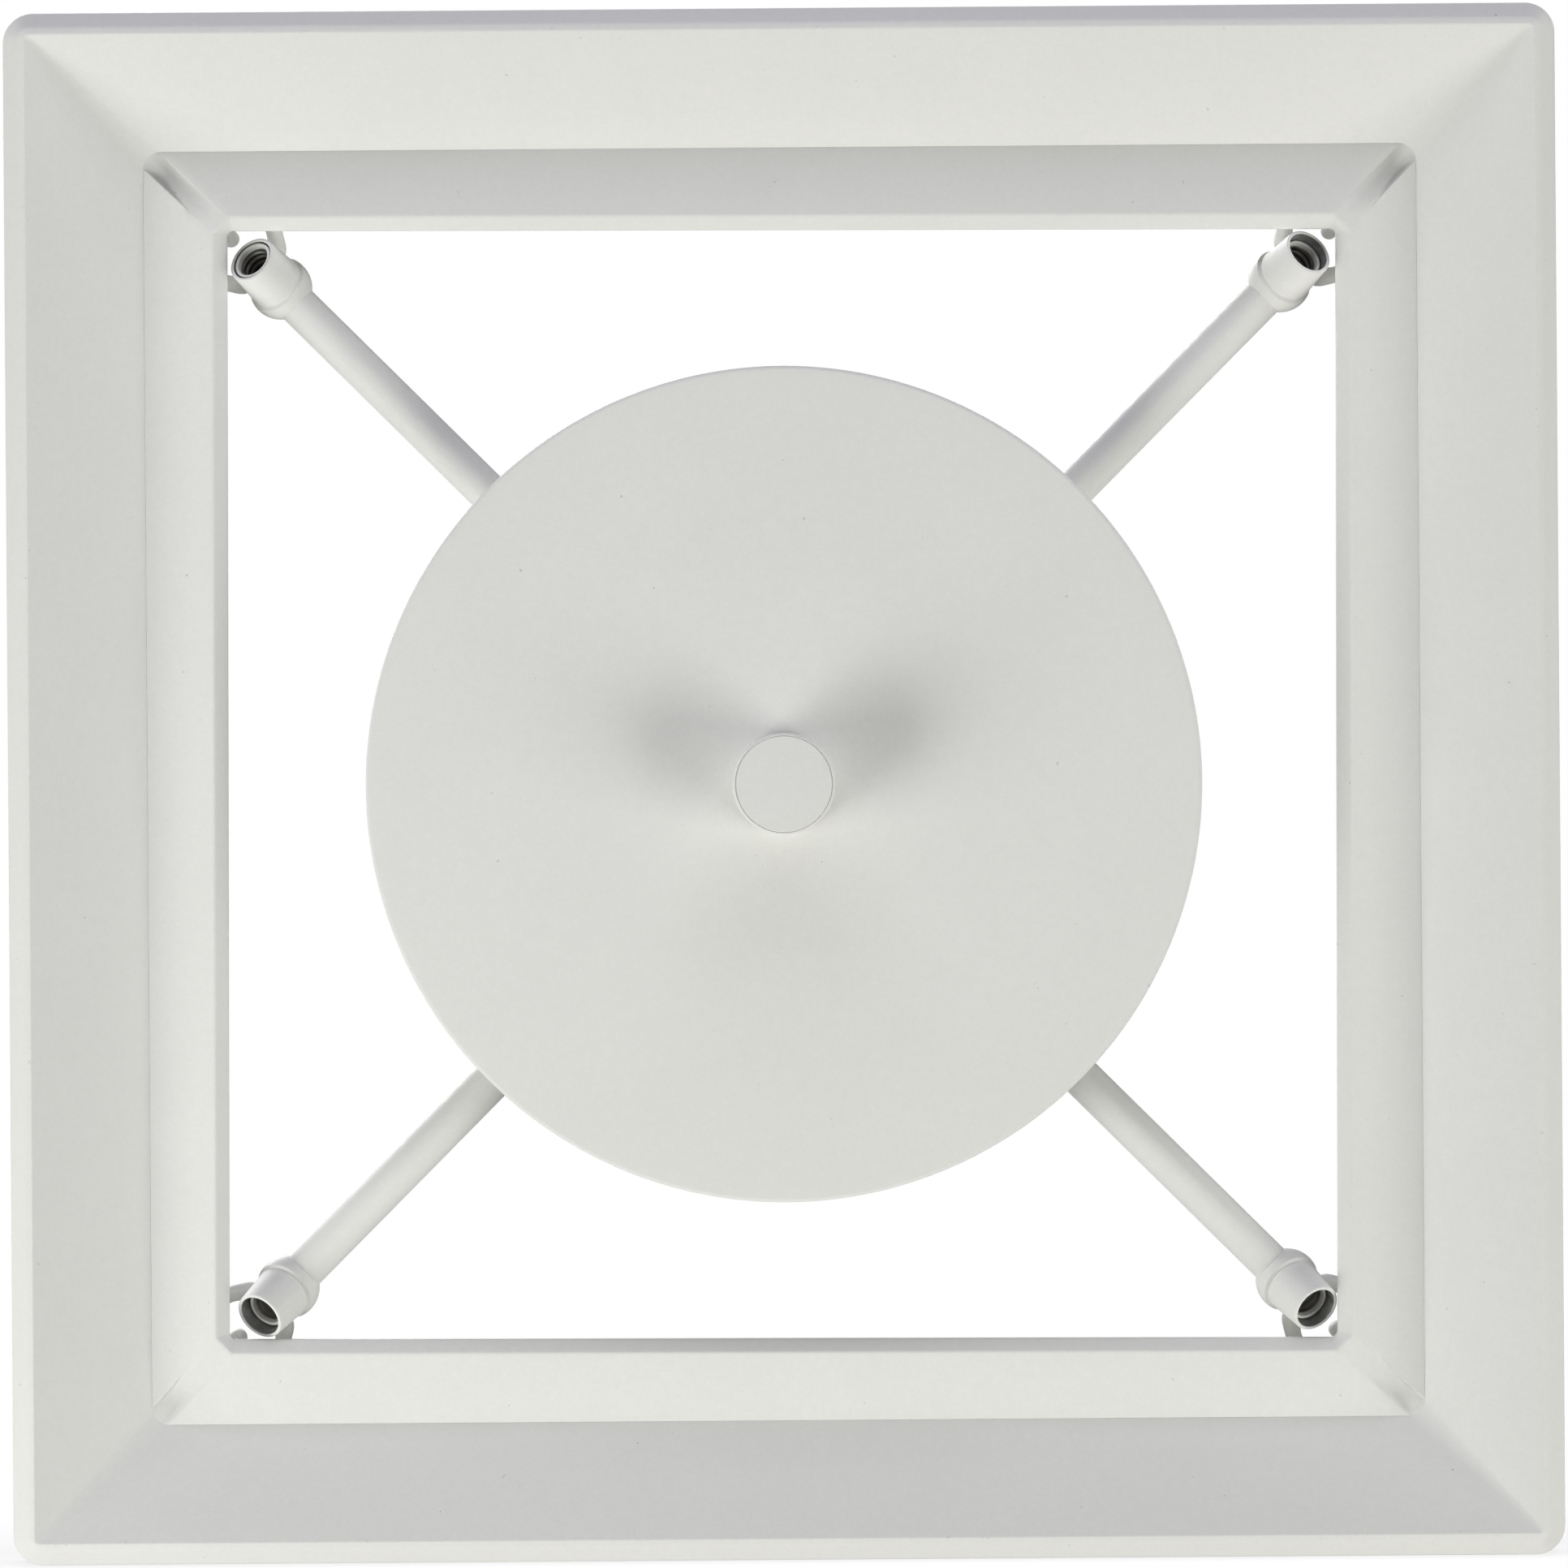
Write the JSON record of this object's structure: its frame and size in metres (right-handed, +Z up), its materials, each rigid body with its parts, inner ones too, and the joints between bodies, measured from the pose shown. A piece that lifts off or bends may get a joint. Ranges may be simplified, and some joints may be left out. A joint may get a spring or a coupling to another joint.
{
  "type": "bathroom extractor fan",
  "caption": "Square pressed-steel ventilator frame hung on diagonal tube arms, with a round front disc on a central knob, tilted lamp holders at the corners and an axial fan behind the disc.",
  "frame": {"origin": "centre of the back face of the mounting plate, where the fan's axis meets the ceiling or wall plane, which is also the middle of the bounding box", "axes": "+Y runs into the ceiling or wall along the fan's axis, the front faces -Y, +X is to the right and +Z is up as seen from the front"},
  "size_m": [0.595, 0.216, 0.595],
  "materials": {
    "powder_coat": "warm white fine-texture powder coat",
    "galvanised": "galvanised sheet",
    "bright_steel": "zinc-plated steel",
    "nickel_brass": "nickel-plated brass",
    "glazed_ceramic": "off-white steatite",
    "white_plastic": "moulded, satin",
    "grey_plastic": "moulded, satin",
    "black_rubber": "matt",
    "copper": "enamelled copper winding on a steel stack"
  },
  "bodies": {
    "unit": {"arm_bottom_left": "powder_coat", "arm_bottom_right": "powder_coat", "arm_top_left": "powder_coat", "arm_top_right": "powder_coat", "cable_grommet": "black_rubber", "capacitor": "grey_plastic", "damper_pin": "bright_steel", "damper_spring": "bright_steel", "duct_spigot": "galvanised", "fan_casing": "galvanised", "fixing_screw_1": "bright_steel", "fixing_screw_2": "bright_steel", "fixing_screw_3": "bright_steel", "fixing_screw_4": "bright_steel", "hub_ring": "powder_coat", "inlet_ring": "white_plastic", "lamp_body_bottom_left": "glazed_ceramic", "lamp_body_bottom_right": "glazed_ceramic", "lamp_body_top_left": "glazed_ceramic", "lamp_body_top_right": "glazed_ceramic", "lamp_contact_bottom_left": "nickel_brass", "lamp_contact_bottom_right": "nickel_brass", "lamp_contact_top_left": "nickel_brass", "lamp_contact_top_right": "nickel_brass", "lamp_lead_bottom_left": "white_plastic", "lamp_lead_bottom_right": "white_plastic", "lamp_lead_top_left": "white_plastic", "lamp_lead_top_right": "white_plastic", "lamp_thread_bottom_left": "nickel_brass", "lamp_thread_bottom_right": "nickel_brass", "lamp_thread_top_left": "nickel_brass", "lamp_thread_top_right": "nickel_brass", "motor_bracket": "grey_plastic", "motor_cable": "black_rubber", "motor_case": "galvanised", "motor_stator": "copper", "mounting_plate": "galvanised", "socket_cup_bottom_left": "powder_coat", "socket_cup_bottom_right": "powder_coat", "socket_cup_top_left": "powder_coat", "socket_cup_top_right": "powder_coat", "spindle": "bright_steel", "spindle_bridge": "galvanised", "terminal_block": "white_plastic"},
    "frame": {"outer_frame": "powder_coat", "inner_frame": "powder_coat", "frame_hook_top_left": "powder_coat", "frame_hook_top_right": "powder_coat", "frame_hook_bottom_left": "powder_coat", "frame_hook_bottom_right": "powder_coat"},
    "front_disc": {"front_disc": "powder_coat"},
    "knob": {"knob": "powder_coat"},
    "impeller": {"impeller": "white_plastic", "impeller_nut": "bright_steel", "motor_shaft": "bright_steel", "motor_rotor": "bright_steel"},
    "damper_upper": {"damper_flap_upper": "galvanised"},
    "damper_lower": {"damper_flap_lower": "galvanised"}
  },
  "joints": [
    {"name": "frame_lift", "type": "slide", "parent": "unit", "child": "frame", "axis": [0, 1, 0], "range_m": [0, 0.011]},
    {"name": "knob_turn", "type": "hinge", "parent": "front_disc", "child": "knob", "pos_m": [0, -0.094, 0], "axis": [0, -1, 0], "range_deg": [-540, 540]},
    {"name": "disc_travel", "type": "slide", "parent": "unit", "child": "front_disc", "axis": [0, -1, 0], "range_m": [-0.006, 0.006]},
    {"name": "impeller_spin", "type": "hinge", "parent": "unit", "child": "impeller", "pos_m": [0, 0, 0], "axis": [0, 1, 0], "continuous": true},
    {"name": "damper_upper_swing", "type": "hinge", "parent": "unit", "child": "damper_upper", "pos_m": [0, 0.03, 0], "axis": [-1, 0, 0], "range_deg": [0, 75], "stiffness_Nm_per_rad": 0.002},
    {"name": "damper_lower_swing", "type": "hinge", "parent": "unit", "child": "damper_lower", "pos_m": [0, 0.03, 0], "axis": [1, 0, 0], "range_deg": [0, 75], "stiffness_Nm_per_rad": 0.002}
  ],
  "couplings": [
    {"joint": "knob_turn", "follows": "disc_travel", "rad_per_m": 1570.8},
    {"joint": "damper_lower_swing", "follows": "damper_upper_swing", "ratio": 1}
  ]
}
